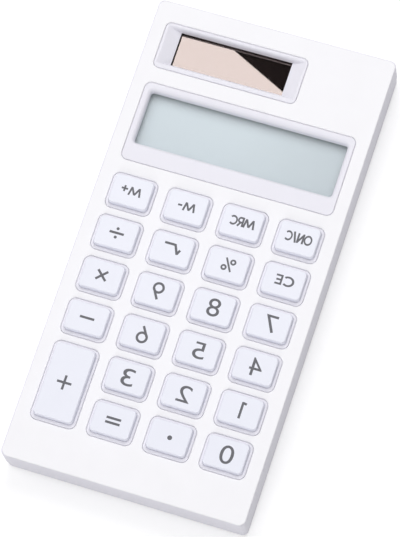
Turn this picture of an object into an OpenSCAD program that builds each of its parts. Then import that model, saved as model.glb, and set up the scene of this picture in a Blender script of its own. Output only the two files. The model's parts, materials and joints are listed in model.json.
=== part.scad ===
// Solar desk calculator: a thin white sheet panel on a moulded case, 23 moulded keys, a liquid
// crystal display and a small light cell, with a button cell to back it up.
// Frame: origin on the desk under the middle of the case, +X to the right of the keypad,
// +Y from the keys towards the display, +Z up. All sizes are millimetres.

/* [Keys] */
// Distance between key columns
key_pitch_x = 14; // [13.5:0.1:16]
// Distance between key rows
key_pitch_y = 11; // [10.6:0.1:13]
// Width of a key where it leaves its collar
key_w = 9.7; // [9:0.1:10.4]
// Depth of a single key where it leaves its collar
key_d = 7.5; // [6.8:0.1:8]
// Corner radius of a key at its collar
key_corner_r = 1.3; // [1.1:0.1:1.8]
// Height of a key's top above the front panel
key_proud = 1.2; // [1:0.1:2]
// How far each side of a key leans in above the panel
key_taper = 0.1; // [0.05:0.05:0.6]
// Rounding of a key's top edge
key_edge_r = 0.1; // [0.05:0.05:0.5]
// How far a key goes down
key_travel = 0.9; // [0.6:0.1:1]
// Gap between a key and its collar, all round
key_clearance = 0.15; // [0.1:0.05:0.25]
// Width of the case's collar that shows round a key
collar_w = 0.7; // [0.5:0.05:0.8]
// How far a key's flange reaches under the case, all round
flange_lip = 0.5; // [0.4:0.05:0.6]
// Thickness of a key's flange
flange_t = 0.8; // [0.6:0.1:1.2]

/* [Display] */
// Width of the display opening
display_view_w = 50.7; // [44:0.1:52]
// Height of the display opening
display_view_h = 14; // [12:0.1:18]
// Bezel beside the opening, on the left and right
display_side = 1.35; // [1.2:0.05:3]
// Bezel above the opening
display_above = 2.1; // [1.8:0.1:4]
// Bezel below the opening
display_below = 4.6; // [4.2:0.1:6]
// Rounding of the bezel's inner edge
display_edge_r = 0.9; // [0.3:0.05:1.2]
// Space between the top key row and the display bezel
display_gap = 3.5; // [3.3:0.1:8]
// Thickness of each sheet of display glass
glass_t = 0.7; // [0.5:0.05:0.8]
// Thickness of each polarising film
film_t = 0.2; // [0.1:0.05:0.25]

/* [Light cell] */
// Width of the opening over the light cell
solar_view_w = 28.3; // [24:0.1:29]
// Height of the opening over the light cell
solar_view_h = 9.1; // [8:0.1:12]
// Run of the bezel's slope on the left and right
solar_slope_x = 3.35; // [1:0.05:3.5]
// Run of the bezel's slope above and below
solar_slope_y = 0.75; // [0.4:0.05:1.5]
// Flat rim round the slopes
solar_rim = 0.7; // [0.5:0.05:1.2]
// Space between the display bezel and the light cell bezel
solar_gap = 4; // [3.6:0.1:8]
// Thickness of the light cell
solar_cell_t = 1.1; // [0.7:0.1:1.3]

/* [Case] */
// Case beyond the keypad on the left and right
side_margin = 3.5; // [3.1:0.1:8]
// Case beyond the bottom key row
bottom_margin = 10.4; // [10:0.1:20]
// Case beyond the light cell bezel
top_margin = 5.2; // [5:0.1:12]
// Corner radius of the case, seen from above
corner_r = 2.3; // [2.1:0.1:5]
// Rounding of the rear cover's lower edge
rear_edge_r = 0.6; // [0.4:0.1:2]
// Rounding of the front case's upper edge
front_edge_r = 0.15; // [0.1:0.05:0.5]
// Thickness of the front case's side walls
wall = 1.6; // [1.2:0.1:1.8]
// Thickness of the front case under the panel
top_wall = 1.35; // [1.2:0.05:1.8]
// Thickness of the rear cover's floor
rear_wall = 1.9; // [1.4:0.05:2]
// Height of the seam between front case and rear cover above the rear face
seam_rise = 3.5; // [3.2:0.1:4.4]
// How far the rear cover stands back at the seam
seam_step = 0.15; // [0:0.05:0.3]
// Thickness of the front panel
panel_t = 0.5; // [0.3:0.05:0.8]
// How far the front panel stands back from the case's edge
panel_inset = 0.1; // [0.1:0.05:0.5]
// Radius of the openings in the front panel
panel_hole_r = 1.7; // [1.5:0.1:2.2]
// Gap between the front panel and what comes up through its openings
panel_gap = 0.12; // [0.05:0.01:0.2]

/* [Inside] */
// Thickness of the circuit board
board_t = 1.6; // [0.8:0.1:1.6]
// Room for parts between the rear cover's floor and the board
board_room = 2.5; // [1.5:0.1:2.5]
// Thickness of the rubber sheet between its domes
web_t = 0.6; // [0.4:0.05:1]
// Height of a rubber dome above the sheet
dome_h = 1.55; // [1.5:0.05:2]
// Diameter of the button cell
battery_d = 11.6; // [7.9:0.1:11.8]
// Thickness of the button cell
battery_h = 3.05; // [2.1:0.05:3.1]
// Diameter of a foot
foot_d = 7; // [5:0.5:8]
// How far a foot stands out of the rear cover
foot_proud = 0.5; // [0.3:0.1:1.5]

/* [Hidden] */
$fn = 48;
rows = 6;
columns = 4;

// Each key: name, column from the left, row from the top, rows that it covers
KEYS = [
    ["key_memory_add", 0, 0, 1], ["key_memory_subtract", 1, 0, 1],
    ["key_memory_recall", 2, 0, 1], ["key_on_clear", 3, 0, 1],
    ["key_divide", 0, 1, 1], ["key_root", 1, 1, 1],
    ["key_percent", 2, 1, 1], ["key_clear_entry", 3, 1, 1],
    ["key_multiply", 0, 2, 1], ["key_9", 1, 2, 1], ["key_8", 2, 2, 1], ["key_7", 3, 2, 1],
    ["key_subtract", 0, 3, 1], ["key_6", 1, 3, 1], ["key_5", 2, 3, 1], ["key_4", 3, 3, 1],
    ["key_add", 0, 4, 2], ["key_3", 1, 4, 1], ["key_2", 2, 4, 1], ["key_1", 3, 4, 1],
    ["key_equals", 1, 5, 1], ["key_point", 2, 5, 1], ["key_0", 3, 5, 1]
];

// Small gaps and overlaps
seat_gap = 0.05;
fit_gap = 0.1;
rib_gap = 0.15;
cut = 1;

// Openings round the keys and the keypad's outline
hole_w = key_w + 2 * key_clearance;
hole_d = key_d + 2 * key_clearance;
hole_r = key_corner_r + key_clearance;
opening_w = hole_w + 2 * collar_w;
opening_d = hole_d + 2 * collar_w;
flange_w = hole_w + 2 * flange_lip;
flange_d = hole_d + 2 * flange_lip;
keypad_w = (columns - 1) * key_pitch_x + opening_w;
keypad_l = (rows - 1) * key_pitch_y + opening_d;

// Bezels
display_bezel_w = display_view_w + 2 * display_side;
display_bezel_h = display_view_h + display_above + display_below;
solar_cell_edge = 1;
solar_cell_w = solar_view_w + 2 * solar_cell_edge;
solar_cell_h = solar_view_h + 2 * solar_cell_edge;
solar_bezel_w = solar_view_w + 2 * (solar_slope_x + solar_rim);
solar_bezel_h = solar_view_h + 2 * (solar_slope_y + solar_rim);

// Button cell, its pocket and its cover, beside the light cell
battery_r = battery_d / 2;
battery_cap_h = 0.4;
battery_shoulder = 0.9;
battery_cap_r = battery_r - battery_shoulder;
battery_lift = 0.8;
rib_t = 0.7;
rib_h = 1.5;
pocket_r = battery_r + rib_gap;
pocket_wall = 1.15;
pocket_slot = 5;
contact_room = 1.4;
cover_t = 0.9;
cover_ledge = 1.55;
cover_w = 2 * (pocket_r + cover_ledge);
cover_r = 1.5;
cover_web = 1;
battery_from_light_cell = rib_gap + rib_t + contact_room + pocket_wall + pocket_r;

// Screws: head radius and height, shank radius, and the bosses that they go into
case_head_r = 1.8;
case_head_h = 0.8;
case_shank_r = 0.9;
case_boss_r = 2.1;
case_boss_merge = 0.3;
case_screw_reach = 4;
board_head_r = 1.5;
board_head_h = 0.8;
board_shank_r = 0.8;
board_boss_r = 1.6;
board_boss_gap = 0.45;
board_screw_reach = 2.2;
drive_slot_w = 0.4;
drive_slot_l = 2;
drive_slot_depth = 0.4;
cover_head_r = 1.5;
cover_head_h = 0.75;
cover_shank_r = 0.8;
cover_boss_r = 1.9;
case_screw_inset = wall + case_boss_r - case_boss_merge;

// The case's outline: as wide as the keypad, the display or the two cells side by side need
cells_w = solar_bezel_w / 2 + solar_cell_w / 2 + battery_from_light_cell + cover_w / 2 + cover_web
    + case_head_r + fit_gap + case_screw_inset;
body_w = max(max(keypad_w, display_bezel_w) + 2 * side_margin, cells_w + side_margin);
body_l = bottom_margin + keypad_l + display_gap + display_bezel_h
    + solar_gap + solar_bezel_h + top_margin;

// Places along Y, from the bottom edge up
bottom_row_y = -body_l / 2 + bottom_margin + opening_d / 2;
top_row_y = bottom_row_y + (rows - 1) * key_pitch_y;
display_y0 = top_row_y + opening_d / 2 + display_gap;
display_y = display_y0 + display_bezel_h / 2;
display_view_y = display_y0 + display_below + display_view_h / 2;
solar_y = display_y0 + display_bezel_h + solar_gap + solar_bezel_h / 2;
solar_x = -body_w / 2 + side_margin + solar_bezel_w / 2;
function key_x(column) = (column - (columns - 1) / 2) * key_pitch_x;
function key_y(row, span) = top_row_y - (row + (span - 1) / 2) * key_pitch_y;
function key_extra(span) = (span - 1) * key_pitch_y;

// Levels along Z, from the desk up
rear_z = foot_proud;
floor_z = rear_z + rear_wall;
board_z = floor_z + board_room;
board_top = board_z + board_t;
web_top = board_top + web_t;
dome_top = web_top + dome_h;
key_under = dome_top + seat_gap;
flange_top = key_under + flange_t;
ceiling_z = flange_top + seat_gap;
case_top = ceiling_z + top_wall;
panel_top = case_top + panel_t;
collar_top = panel_top - seat_gap;
key_top = panel_top + key_proud;
seam_z = rear_z + seam_rise;

// Case walls and the rear cover's tongue inside them
inner_w = body_w - 2 * wall;
inner_l = body_l - 2 * wall;
inner_r_least = 0.5;
inner_r = max(corner_r - wall, inner_r_least);
tongue_t = 0.7;
tongue_rise = 0.8;
tongue_w = inner_w - 2 * fit_gap;
tongue_l = inner_l - 2 * fit_gap;
tray_w = tongue_w - 2 * tongue_t;
tray_l = tongue_l - 2 * tongue_t;

// Places of the screws
case_screw_x = body_w / 2 - case_screw_inset;
case_screw_y = body_l / 2 - case_screw_inset;
case_screw_places = [for (x = [-1, 1], y = [-1, 1]) [x * case_screw_x, y * case_screw_y]];
board_screw_rows = [
    top_row_y + flange_d / 2 + board_boss_r + board_boss_gap,
    key_y(2, 2),
    bottom_row_y - flange_d / 2 - board_boss_r - board_boss_gap
];
board_screw_places = [for (x = [-1, 1], y = board_screw_rows) [x * key_pitch_x, y]];

// Places of the button cell and its cover
battery_x = solar_x + solar_cell_w / 2 + battery_from_light_cell;
battery_y = solar_y;
battery_z = floor_z + battery_lift;
pocket_foot = battery_z + fit_gap;
cover_above = cover_w / 2;
cover_tab = 5;
cover_below = cover_above + cover_tab;
cover_l = cover_above + cover_below;
cover_y = battery_y + (cover_above - cover_below) / 2;
cover_z = rear_z + cover_t;
cover_seat = cover_z + seat_gap;
cover_lap = 1.2;
cover_hole_r = pocket_r + cover_ledge - cover_lap;
cover_screw_edge = 2.3;
cover_screw_y = battery_y - cover_below + cover_screw_edge;
cover_hook_w = 3;
cover_hook_t = 0.6;
cover_hook_reach = 1.4;
cover_hook_foot = 1.2;
cover_rib_inset = 1;
cover_rib_t = 0.8;

// Board outline, with a notch for the button cell
board_gap = 0.5;
board_w = tray_w - 2 * board_gap;
board_l = 2 * (case_screw_y - case_boss_r - board_gap);
notch_x = battery_x - pocket_r - pocket_wall - board_gap;
notch_y = battery_y - pocket_r - pocket_wall - board_gap;

// Rubber domes: rings of the section
dome_base_r = 3.2;
dome_neck_r = 2.1;
dome_wall = 0.55;
dome_crown = 0.7;
pill_r = 1.3;
pad_r = 2.2;
pad_t = 0.05;
web_edge = 0.3;

// Display stack, from the ceiling down
glass_side = 1.2;
glass_above = 1.5;
glass_ledge = 3;
glass_below = 3.8;
film_edge = 0.35;
film_z = ceiling_z - seat_gap - film_t;
front_glass_z = film_z - glass_t;
rear_glass_z = front_glass_z - glass_t;
rear_film_z = rear_glass_z - film_t;
glass_w = display_view_w + 2 * glass_side;
glass_y0 = display_view_y - display_view_h / 2 - glass_below;
glass_y1 = display_view_y + display_view_h / 2 + glass_above;
rear_glass_y0 = glass_y0 + glass_ledge;
connector_w = 1.8;

// Light cell under its opening
solar_cell_z = ceiling_z - seat_gap - solar_cell_t;
solar_lip = 0.35;
solar_hole_r = 1.5;
lead_r = 0.25;
lead_seat = 0.02;
lead_loop_r = (solar_cell_z - board_top) / 2 - lead_r - lead_seat;
lead_edge = 1.2;
lead_space = 3;
pad_edge = 1.5;
contact_t = 0.25;
contact_w = 4;
contact_foot = 3;

// Small parts under the board: length, width and height of each chip
capacitor_size = [2, 1.25, 0.9];
resistor_size = [1.6, 0.8, 0.5];
resistor_pitch = 3;
diode_size = [2.7, 1.6, 1.1];
chip_plating = 0.04;
blob_r = 4;
blob_h = 1.1;
blob_sphere_r = (blob_r * blob_r + blob_h * blob_h) / (2 * blob_h);

// Feet
foot_r = foot_d / 2;
foot_seat = 0.7;
foot_side = 7.5;
foot_end = 10;
foot_from_cover = 2.8;
foot_chamfer = 0.2;
foot_rows = [-body_l / 2 + foot_end, cover_y - cover_l / 2 - foot_from_cover - foot_r];
foot_places = [for (x = [-1, 1], y = foot_rows) [x * (body_w / 2 - foot_side), y]];

// Colours
panel_white = [0.965, 0.96, 0.98];
case_white = [0.93, 0.925, 0.965];
key_white = [0.935, 0.945, 0.98];
board_green = [0.16, 0.36, 0.22];
steel = [0.72, 0.72, 0.74];

// Rounded rectangle
module outline(w, l, r) {
    square([w - 2 * r, l], center = true);
    square([w, l - 2 * r], center = true);
    for (x = [-1, 1], y = [-1, 1]) {
        translate([x * (w / 2 - r), y * (l / 2 - r)]) circle(r);
    }
}

// Flat plate with rounded corners between two levels
module plate(w, l, r, z0, z1) {
    translate([0, 0, z0]) linear_extrude(z1 - z0) outline(w, l, r);
}

// Box between two levels, given by its middle and size
module slab(x, y, w, l, z0, z1) {
    translate([x - w / 2, y - l / 2, z0]) cube([w, l, z1 - z0]);
}

// Block with rounded corners whose sides follow a profile of [inset, level] steps
module profiled_block(w, l, r, profile) {
    low = profile[0][1];
    high = profile[len(profile) - 1][1];
    side = concat([[0, low]], [for (p = profile) [r - p[0], p[1]]], [[0, high]]);
    slab(0, 0, w - 2 * r, l - 2 * r, low, high);
    for (i = [0:3]) {
        across = (i % 2 == 0 ? w : l) / 2 - r;
        along = (i % 2 == 0 ? l : w) / 2 - r;
        rotate(90 * i) {
            translate([across, along, 0]) rotate_extrude(angle = 90) polygon(side);
            translate([across, along, 0]) rotate([90, 0, 0]) linear_extrude(2 * along) polygon(side);
        }
    }
}

// Steps of a rounded edge at the top or bottom of a profiled block, or round the mouth of a hole
function round_top(inset, high, r) =
    [for (a = [0:22.5:90]) [inset + r * (1 - cos(a)), high - r + r * sin(a)]];
function round_mouth(high, r) =
    [for (a = [0:15:90]) [-r * (1 - cos(a)), high - r + r * sin(a)]];
function round_bottom(low, r) =
    [for (a = [0:15:90]) [r * (1 - sin(a)), low + r * (1 - cos(a))]];

// Upright frame of ribs round a rectangle
module rib_frame(x, y, w, l, z0, z1) {
    difference() {
        slab(x, y, w + 2 * (rib_gap + rib_t), l + 2 * (rib_gap + rib_t), z0, z1);
        slab(x, y, w + 2 * rib_gap, l + 2 * rib_gap, z0 - cut, z1 + cut);
    }
}

// Round post between two levels
module boss(r, z0, z1) {
    translate([0, 0, z0]) cylinder(r = r, h = z1 - z0);
}

// Pan-head screw, head down, with a cross recess
module pan_screw(head_r, head_h, shank_r, reach) {
    difference() {
        cylinder(r = head_r, h = head_h);
        for (a = [0, 90]) {
            rotate(a) slab(0, 0, drive_slot_l, drive_slot_w, -cut, drive_slot_depth);
        }
    }
    translate([0, 0, head_h]) cylinder(r = shank_r, h = reach);
}

// Repeats its children at the middle of every key
module at_keys() {
    for (k = KEYS) {
        translate([key_x(k[1]), key_y(k[2], k[3]), 0]) children();
    }
}

// Thin sheet panel, painted white, glued on the case and cut out round keys and bezels
module front_panel() {
    w = body_w - 2 * panel_inset;
    l = body_l - 2 * panel_inset;
    edge = panel_t / 4;
    color(panel_white) difference() {
        profiled_block(w, l, corner_r - 2 * panel_inset,
            [[0, case_top], [0, panel_top - edge], [edge, panel_top]]);
        for (k = KEYS) {
            translate([key_x(k[1]), key_y(k[2], k[3]), 0])
                plate(opening_w, opening_d + key_extra(k[3]), panel_hole_r,
                    case_top - cut, panel_top + cut);
        }
        translate([0, display_y, 0])
            plate(display_bezel_w, display_bezel_h, panel_hole_r, case_top - cut, panel_top + cut);
        translate([solar_x, solar_y, 0])
            plate(solar_bezel_w, solar_bezel_h, solar_hole_r, case_top - cut, panel_top + cut);
    }
}

// Raised parts of the case that come up through the panel's openings
module case_collars() {
    low = case_top - top_wall / 2;
    for (k = KEYS) {
        translate([key_x(k[1]), key_y(k[2], k[3]), 0])
            plate(opening_w - 2 * panel_gap, opening_d + key_extra(k[3]) - 2 * panel_gap,
                panel_hole_r - panel_gap, low, collar_top);
    }
    translate([0, display_y, 0])
        plate(display_bezel_w - 2 * panel_gap, display_bezel_h - 2 * panel_gap,
            panel_hole_r - panel_gap, low, collar_top);
    translate([solar_x, solar_y, 0])
        plate(solar_bezel_w - 2 * panel_gap, solar_bezel_h - 2 * panel_gap,
            solar_hole_r - panel_gap, low, collar_top);
}

// Opening over the display, whose upper edge is rounded over
module display_opening() {
    display_hole_r = 0.8;
    translate([0, display_view_y, 0])
        profiled_block(display_view_w, display_view_h, display_hole_r,
            concat([[0, ceiling_z - cut]], round_mouth(collar_top, display_edge_r),
                [[-display_edge_r, collar_top + cut]]));
}

// Half of a funnel's section: straight at the bottom, then sloping out to the rim
module funnel_section(half, run) {
    foot = ceiling_z + solar_lip;
    past = run * cut / (collar_top - foot);
    polygon([
        [-half, ceiling_z - cut], [half, ceiling_z - cut], [half, foot],
        [half + run + past, collar_top + cut], [-half - run - past, collar_top + cut], [-half, foot]
    ]);
}

// Opening over the light cell: four slopes that meet in mitred corners
module solar_opening() {
    reach = body_w;
    translate([solar_x, solar_y, 0]) intersection() {
        translate([0, reach / 2, 0]) rotate([90, 0, 0]) linear_extrude(reach)
            funnel_section(solar_view_w / 2, solar_slope_x);
        translate([-reach / 2, 0, 0]) rotate([90, 0, 90]) linear_extrude(reach)
            funnel_section(solar_view_h / 2, solar_slope_y);
    }
}

// Pocket for the button cell, slotted where the two contacts reach in
module battery_pocket() {
    translate([battery_x, battery_y, 0]) difference() {
        boss(pocket_r + pocket_wall, pocket_foot, ceiling_z + top_wall / 2);
        boss(pocket_r, pocket_foot - cut, ceiling_z);
        slab(-pocket_r, 0, 2 * pocket_r, pocket_slot, pocket_foot - cut, ceiling_z);
        slab(0, -pocket_r, pocket_slot, 2 * pocket_r, pocket_foot - cut, ceiling_z);
    }
}

// Moulded front case with collars, bezels, bosses and ribs
module front_case() {
    into_top = ceiling_z + top_wall / 2;
    color(case_white) difference() {
        union() {
            difference() {
                profiled_block(body_w, body_l, corner_r,
                    concat([[0, seam_z + seat_gap]], round_top(0, case_top, front_edge_r)));
                plate(inner_w, inner_l, inner_r, seam_z - cut, ceiling_z);
            }
            case_collars();
            for (p = case_screw_places) {
                translate([p[0], p[1], 0]) boss(case_boss_r, floor_z, into_top);
            }
            for (p = board_screw_places) {
                translate([p[0], p[1], 0]) boss(board_boss_r, board_top, into_top);
            }
            rib_frame(0, (glass_y0 + glass_y1) / 2, glass_w, glass_y1 - glass_y0,
                ceiling_z - rib_h, into_top);
            rib_frame(solar_x, solar_y, solar_cell_w, solar_cell_h, ceiling_z - rib_h, into_top);
            battery_pocket();
        }
        for (k = KEYS) {
            translate([key_x(k[1]), key_y(k[2], k[3]), 0])
                plate(hole_w, hole_d + key_extra(k[3]), hole_r, ceiling_z - cut, collar_top + cut);
        }
        display_opening();
        solar_opening();
        for (p = case_screw_places) {
            translate([p[0], p[1], 0])
                boss(case_shank_r + seat_gap, floor_z - cut, floor_z + case_screw_reach);
        }
        for (p = board_screw_places) {
            translate([p[0], p[1], 0])
                boss(board_shank_r + seat_gap, board_top - cut, board_top + board_screw_reach);
        }
    }
}

// Moulded rear cover: a shallow tray with a tongue that goes inside the front case
module rear_cover() {
    corner_least = 0.3;
    edge = min(rear_edge_r, corner_r - corner_least);
    head_z = rear_z + case_head_h + fit_gap;
    color(case_white) difference() {
        union() {
            profiled_block(body_w - 2 * seam_step, body_l - 2 * seam_step, corner_r,
                concat(round_bottom(rear_z, edge), [[0, seam_z]]));
            plate(tongue_w, tongue_l, inner_r, floor_z, seam_z + tongue_rise);
        }
        difference() {
            plate(tray_w, tray_l, inner_r, floor_z, seam_z + tongue_rise + cut);
            translate([battery_x, cover_screw_y, 0]) boss(cover_boss_r, cover_z, board_z - fit_gap);
        }
        for (p = case_screw_places) {
            translate([p[0], p[1], 0]) {
                boss(case_head_r + fit_gap, rear_z - cut, head_z);
                boss(case_shank_r + fit_gap, rear_z - cut, floor_z + cut);
                boss(case_boss_r + fit_gap, floor_z, seam_z + tongue_rise + cut);
            }
        }
        for (p = foot_places) {
            translate([p[0], p[1], 0]) boss(foot_r + seat_gap, rear_z - cut, rear_z + foot_seat);
        }
        translate([battery_x, cover_y, 0])
            plate(cover_w + 2 * fit_gap, cover_l + 2 * fit_gap, cover_r, rear_z - cut, cover_seat);
        translate([battery_x, battery_y, 0]) boss(cover_hole_r, rear_z - cut, floor_z + cut);
        translate([battery_x, cover_screw_y, 0])
            boss(cover_shank_r + seat_gap, rear_z - cut, board_z + cut);
    }
}

// Cover under the button cell: hooked in at its far end, held by one screw
module battery_cover() {
    rib_out = battery_r - cover_rib_inset;
    rib_in = rib_out - cover_rib_t;
    hook_z = floor_z + seat_gap;
    hook_top = hook_z + cover_hook_t;
    hook_y = battery_y + cover_hole_r - fit_gap;
    color(case_white) difference() {
        union() {
            translate([battery_x, cover_y, 0]) plate(cover_w, cover_l, cover_r, rear_z, cover_z);
            translate([battery_x, battery_y, 0]) difference() {
                boss(rib_out, rear_z + cover_t / 2, battery_z - seat_gap);
                boss(rib_in, cover_z, battery_z + cut);
            }
            slab(battery_x, hook_y - cover_hook_foot, cover_hook_w, cover_hook_foot,
                rear_z + cover_t / 2, hook_top);
            slab(battery_x, hook_y + (cover_hook_reach - cover_hook_foot) / 2, cover_hook_w,
                cover_hook_foot + cover_hook_reach, hook_z, hook_top);
        }
        translate([battery_x, cover_screw_y, rear_z]) {
            translate([0, 0, seat_gap])
                cylinder(r1 = cover_head_r + seat_gap, r2 = cover_shank_r + seat_gap, h = cover_head_h);
            translate([0, 0, -cut]) cylinder(r = cover_head_r + seat_gap, h = cut + seat_gap);
            cylinder(r = cover_shank_r + seat_gap, h = cover_t + cut);
        }
    }
}

// Four rubber feet glued in shallow seats
module rubber_feet() {
    color([0.2, 0.2, 0.21]) for (p = foot_places) {
        translate([p[0], p[1], 0]) rotate_extrude() polygon([
            [0, 0], [foot_r - foot_chamfer, 0], [foot_r, foot_chamfer],
            [foot_r, rear_z + foot_seat], [0, rear_z + foot_seat]
        ]);
    }
}

// Rubber sheet with a dome and a conductive pill under every key
module keypad_membrane() {
    w = (columns - 1) * key_pitch_x + flange_w + 2 * web_edge;
    l = (rows - 1) * key_pitch_y + flange_d + 2 * web_edge;
    shoulder = dome_top - dome_crown;
    hollow_r = dome_base_r - dome_wall;
    hollow_top_r = dome_neck_r - dome_wall;
    color([0.55, 0.56, 0.58]) difference() {
        union() {
            translate([0, (top_row_y + bottom_row_y) / 2, 0])
                plate(w, l, key_corner_r, board_top, web_top);
            at_keys() rotate_extrude() polygon([
                [0, board_top], [dome_base_r, board_top], [dome_base_r, web_top],
                [dome_neck_r, shoulder], [dome_neck_r, dome_top], [0, dome_top]
            ]);
        }
        at_keys() rotate_extrude() polygon([
            [0, board_top - cut], [hollow_r, board_top - cut], [hollow_r, web_top],
            [hollow_top_r, shoulder], [pill_r, shoulder], [pill_r, board_top + key_travel],
            [0, board_top + key_travel]
        ]);
        for (p = board_screw_places) {
            translate([p[0], p[1], 0]) boss(board_boss_r + rib_gap, board_top - cut, web_top + cut);
        }
    }
}

// Circuit board with screw holes, notched beside the button cell
module circuit_board() {
    reach = body_w;
    color(board_green) difference() {
        slab(0, 0, board_w, board_l, board_z, board_top);
        translate([notch_x, notch_y, board_z - cut]) cube([reach, reach, board_t + 2 * cut]);
        for (p = board_screw_places) {
            translate([p[0], p[1], 0]) boss(board_shank_r + rib_gap, board_z - cut, board_top + cut);
        }
    }
}

// Printed contact pads under the domes
module key_contacts() {
    color([0.15, 0.15, 0.16]) at_keys() boss(pad_r, board_top, board_top + pad_t);
}

// Bare controller chip under a drop of black resin
module controller_blob() {
    color([0.08, 0.08, 0.09]) translate([0, display_y, board_z]) intersection() {
        translate([0, 0, blob_sphere_r - blob_h]) sphere(blob_sphere_r, $fn = 200);
        slab(0, 0, 2 * blob_r, 2 * blob_r, -blob_h - cut, 0);
    }
}

// Chip component: a body between two end caps, hanging under the board
module chip(size) {
    end = size[0] / 5;
    low = board_z - size[2];
    slab(0, 0, size[0] - 2 * end, size[1] - 2 * chip_plating, low + chip_plating, board_z);
    for (x = [-1, 1]) {
        slab(x * (size[0] - end) / 2, 0, end, size[1], low, board_z);
    }
}

// Two ceramic capacitors beside the controller
module capacitors() {
    color([0.76, 0.62, 0.42]) for (x = [-1, 1]) {
        translate([x * 2 * blob_r, display_y, 0]) chip(capacitor_size);
    }
}

// Three chip resistors in a row
module resistors() {
    color([0.12, 0.12, 0.13]) for (i = [-1:1]) {
        translate([resistor_pitch * i, display_y - 2 * blob_r, 0]) chip(resistor_size);
    }
}

// Diode that keeps the button cell from feeding the light cell
module diode() {
    color([0.1, 0.1, 0.1]) translate([solar_x, solar_y, 0]) chip(diode_size);
}

// Front glass of the display, with the contact ledge at its lower edge
module display_front_glass() {
    color([0.82, 0.86, 0.88])
        slab(0, (glass_y0 + glass_y1) / 2, glass_w, glass_y1 - glass_y0, front_glass_z, film_z);
}

// Rear glass of the display, short of the contact ledge
module display_rear_glass() {
    color([0.8, 0.84, 0.86])
        slab(0, (rear_glass_y0 + glass_y1) / 2, glass_w, glass_y1 - rear_glass_y0,
            rear_glass_z, front_glass_z);
}

// Polarising film on one face of the display
module film(z) {
    low = rear_glass_y0 + film_edge;
    high = glass_y1 - film_edge;
    slab(0, (low + high) / 2, glass_w - 2 * film_edge, high - low, z, z + film_t);
}

// Grey-blue film that shows in the opening
module display_front_film() {
    color([0.8, 0.85, 0.87]) film(film_z);
}

// Reflecting film behind the display
module display_rear_film() {
    color([0.7, 0.72, 0.72]) film(rear_film_z);
}

// Striped rubber strip that joins the board to the glass ledge
module display_connector() {
    color([0.9, 0.72, 0.72])
        slab(0, glass_y0 + glass_ledge / 2, display_view_w, connector_w, board_top, front_glass_z);
}

// Foam that presses the display up to the case
module display_pad() {
    low = rear_glass_y0 + pad_edge;
    high = glass_y1 - pad_edge;
    color([0.25, 0.25, 0.26])
        slab(0, (low + high) / 2, glass_w - 2 * pad_edge, high - low, board_top, rear_film_z);
}

// Glass plate of the light cell
module light_cell() {
    color([0.14, 0.12, 0.12])
        slab(solar_x, solar_y, solar_cell_w, solar_cell_h, solar_cell_z, solar_cell_z + solar_cell_t);
}

// Foam that presses the light cell up to the case
module light_cell_pad() {
    color([0.25, 0.25, 0.26])
        slab(solar_x - lead_space / 2, solar_y, solar_cell_w - lead_space - 2 * pad_edge,
            solar_cell_h - 2 * pad_edge, board_top, solar_cell_z);
}

// Two short bare wires from the light cell down to the board
module light_cell_leads() {
    x = solar_x + solar_cell_w / 2 - lead_edge - lead_space / 2;
    z = (board_top + solar_cell_z) / 2;
    color(steel) for (y = [-1, 1]) {
        translate([x, solar_y + y * solar_view_h / 4, z]) rotate([0, 90, 0]) rotate([90, 0, 0])
            rotate_extrude(angle = 180) translate([lead_loop_r, 0]) circle(lead_r);
    }
}

// Button cell with its smaller cap upwards
module button_cell() {
    color(steel) translate([battery_x, battery_y, 0]) {
        boss(battery_r, battery_z, battery_z + battery_h - battery_cap_h);
        boss(battery_cap_r, battery_z, battery_z + battery_h);
    }
}

// Spring strip from the board to the side of the button cell
module battery_contact_plus() {
    side = battery_y - battery_r - seat_gap;
    low = battery_z + battery_h / 4;
    color(steel) translate([battery_x - contact_w / 2, 0, 0]) rotate([90, 0, 90]) linear_extrude(contact_w)
        polygon([
            [notch_y - contact_foot, board_top], [side - contact_t, board_top], [side - contact_t, low],
            [side, low], [side, board_top + contact_t], [notch_y - contact_foot, board_top + contact_t]
        ]);
}

// Spring strip from the board over the button cell's cap
module battery_contact_minus() {
    tip = battery_x;
    tip_z = battery_z + battery_h + seat_gap;
    bend = notch_x - seat_gap;
    bend_z = ceiling_z - 2 * contact_t;
    color(steel) translate([0, battery_y + contact_w / 2, 0]) rotate([90, 0, 0]) linear_extrude(contact_w)
        polygon([
            [bend - contact_foot, board_top], [bend, board_top], [bend, bend_z - contact_t],
            [tip, tip_z], [tip, tip_z + contact_t], [bend - contact_t, bend_z],
            [bend - contact_t, board_top + contact_t], [bend - contact_foot, board_top + contact_t]
        ]);
}

// Four screws that hold the rear cover to the front case
module case_screws() {
    reach = floor_z + case_screw_reach - rear_z - case_head_h - 2 * fit_gap;
    color(steel) for (p = case_screw_places) {
        translate([p[0], p[1], rear_z + fit_gap]) pan_screw(case_head_r, case_head_h, case_shank_r, reach);
    }
}

// Six screws that hold the board to the front case
module board_screws() {
    reach = board_t + board_screw_reach - fit_gap;
    color(steel) for (p = board_screw_places) {
        translate([p[0], p[1], board_z - board_head_h])
            pan_screw(board_head_r, board_head_h, board_shank_r, reach);
    }
}

// Countersunk screw of the battery cover
module battery_cover_screw() {
    low = rear_z + seat_gap;
    top = board_z - 2 * fit_gap;
    color(steel) translate([battery_x, cover_screw_y, low]) {
        difference() {
            cylinder(r1 = cover_head_r, r2 = cover_shank_r, h = cover_head_h);
            for (a = [0, 90]) {
                rotate(a) slab(0, 0, drive_slot_l, drive_slot_w, -cut, drive_slot_depth);
            }
        }
        translate([0, 0, cover_head_h]) cylinder(r = cover_shank_r, h = top - low - cover_head_h);
    }
}

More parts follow.
